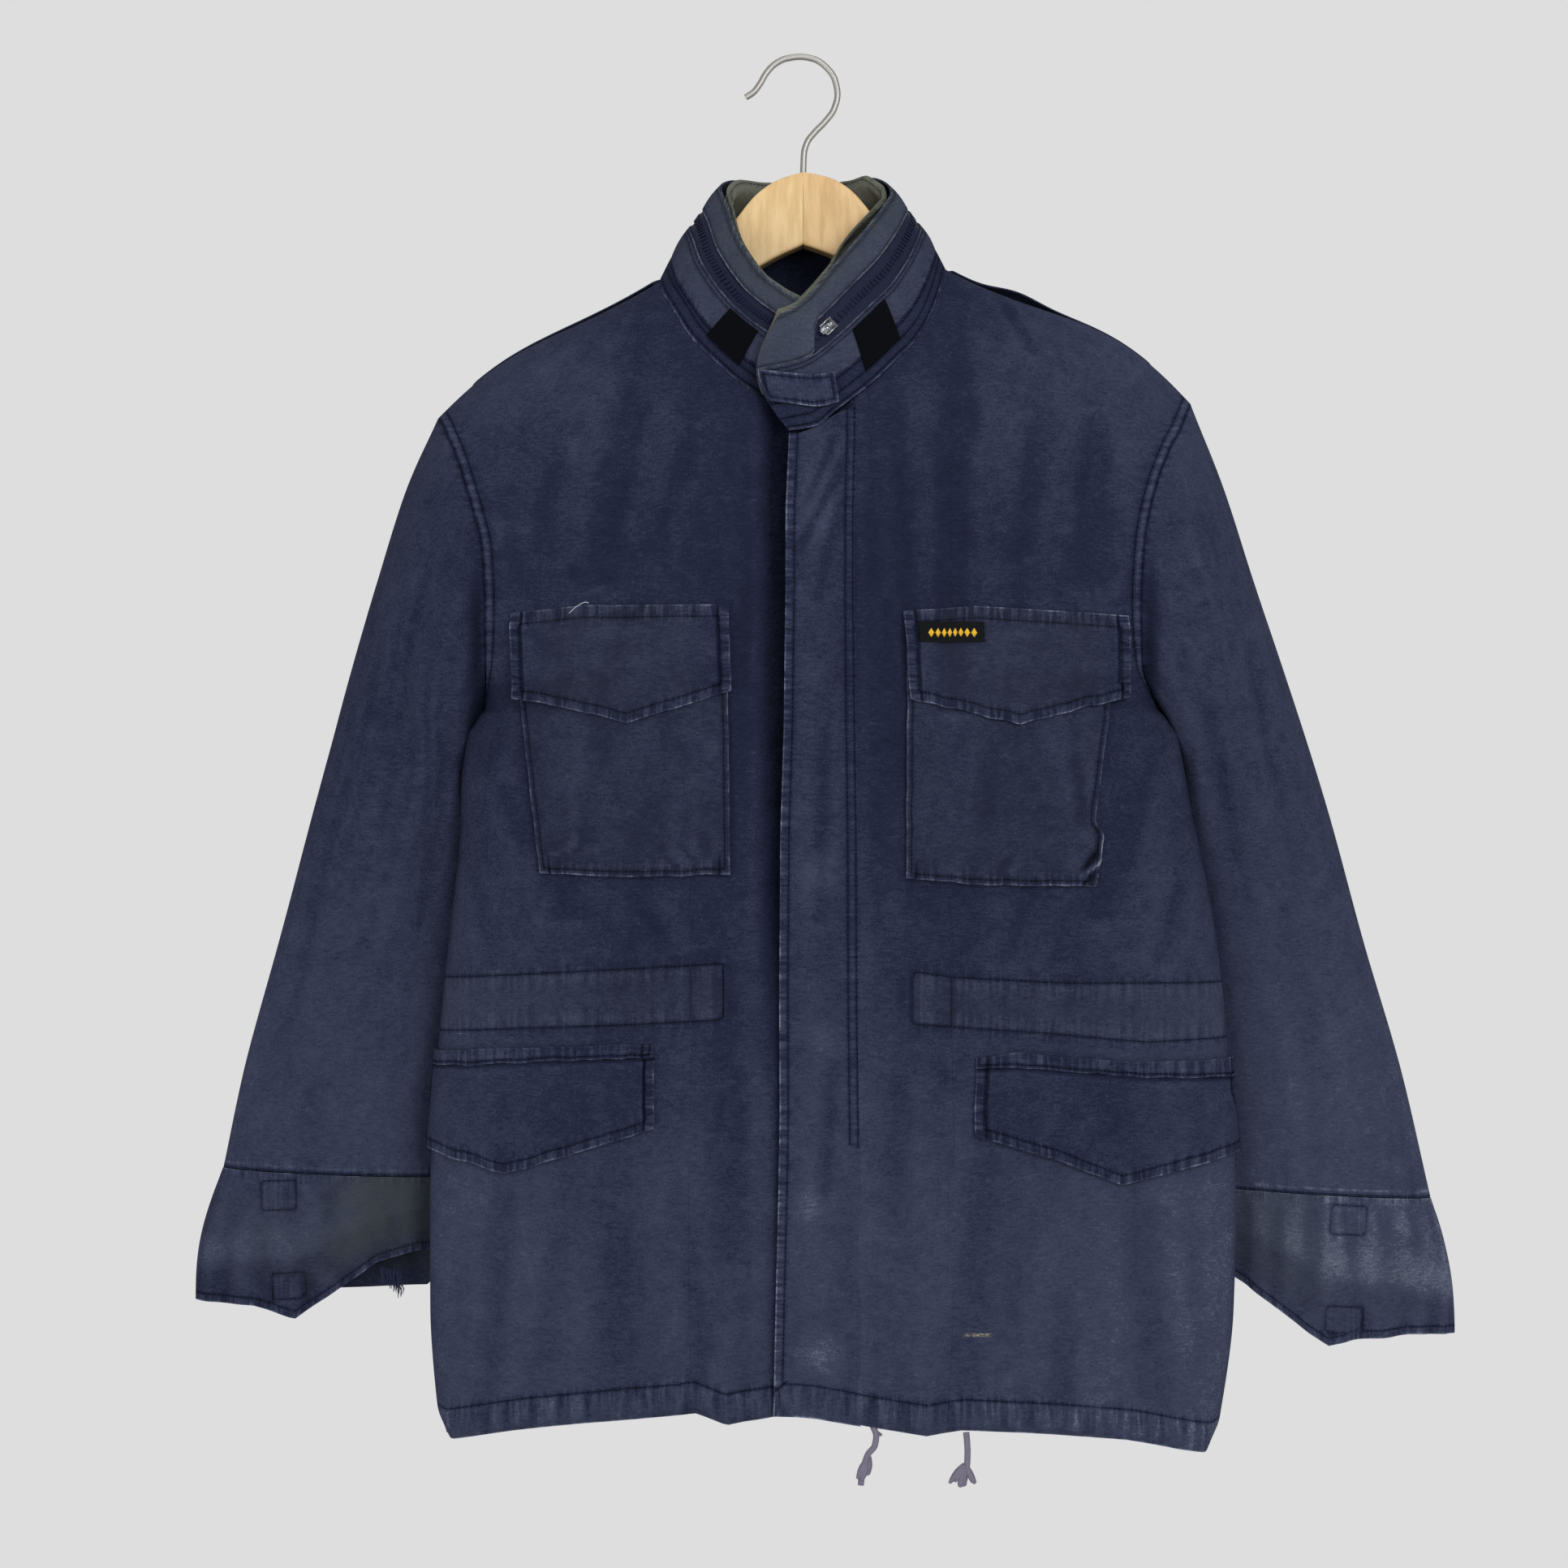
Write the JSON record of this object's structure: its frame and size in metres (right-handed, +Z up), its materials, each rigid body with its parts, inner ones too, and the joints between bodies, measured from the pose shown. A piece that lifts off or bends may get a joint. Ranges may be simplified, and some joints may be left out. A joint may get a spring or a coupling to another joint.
{
  "type": "work jacket on hanger",
  "caption": "Washed navy cotton work jacket with stand collar, flapped pockets, shoulder straps and pointed cuffs, hanging zipped on a wooden hanger with a steel hook",
  "frame": {"origin": "inner top of the hook's wire, on the hanger's own plane, where the hanger hangs on a rail or peg", "axes": "+Z up; the jacket's front faces -Y; +X is the wearer's left, which is at the picture's right"},
  "size_m": [0.8255, 0.1368, 0.9241],
  "materials": {
    "navy_cotton": "washed and worn cotton ripstop",
    "grey_lining": "worn brushed cotton",
    "hook_tape": "black hook-and-loop tape",
    "zip_tape": "woven tape with a covered chain",
    "zip_metal": "small plated slider",
    "woven_label": "black woven label, plain",
    "cord": "grey braided cord",
    "hanger_wood": "pale clear-varnished beech",
    "hook_wire": "bright drawn wire"
  },
  "bodies": {
    "root": {"front_right": "navy_cotton", "front_left": "navy_cotton", "back": "navy_cotton", "fly": "navy_cotton", "sleeve_right": "navy_cotton", "sleeve_left": "navy_cotton", "cuff_right": "navy_cotton", "cuff_left": "navy_cotton", "neck_band": "navy_cotton", "collar_lower": "navy_cotton", "collar_upper": "navy_cotton", "collar_zip": "zip_tape", "collar_lining": "grey_lining", "zip_slider": "zip_metal", "throat_tab": "navy_cotton", "patch_right": "hook_tape", "patch_left": "hook_tape", "chest_pocket_right": "navy_cotton", "chest_pocket_left": "navy_cotton", "chest_flap_right": "navy_cotton", "chest_flap_left": "navy_cotton", "flap_label": "woven_label", "pocket_welt_right": "navy_cotton", "pocket_welt_left": "navy_cotton", "low_flap_right": "navy_cotton", "low_flap_left": "navy_cotton", "strap_right": "navy_cotton", "strap_left": "navy_cotton", "drawcord_right": "cord", "drawcord_left": "cord", "hanger_arm_right": "hanger_wood", "hanger_arm_left": "hanger_wood", "hanger_hook": "hook_wire"}
  },
  "joints": []
}
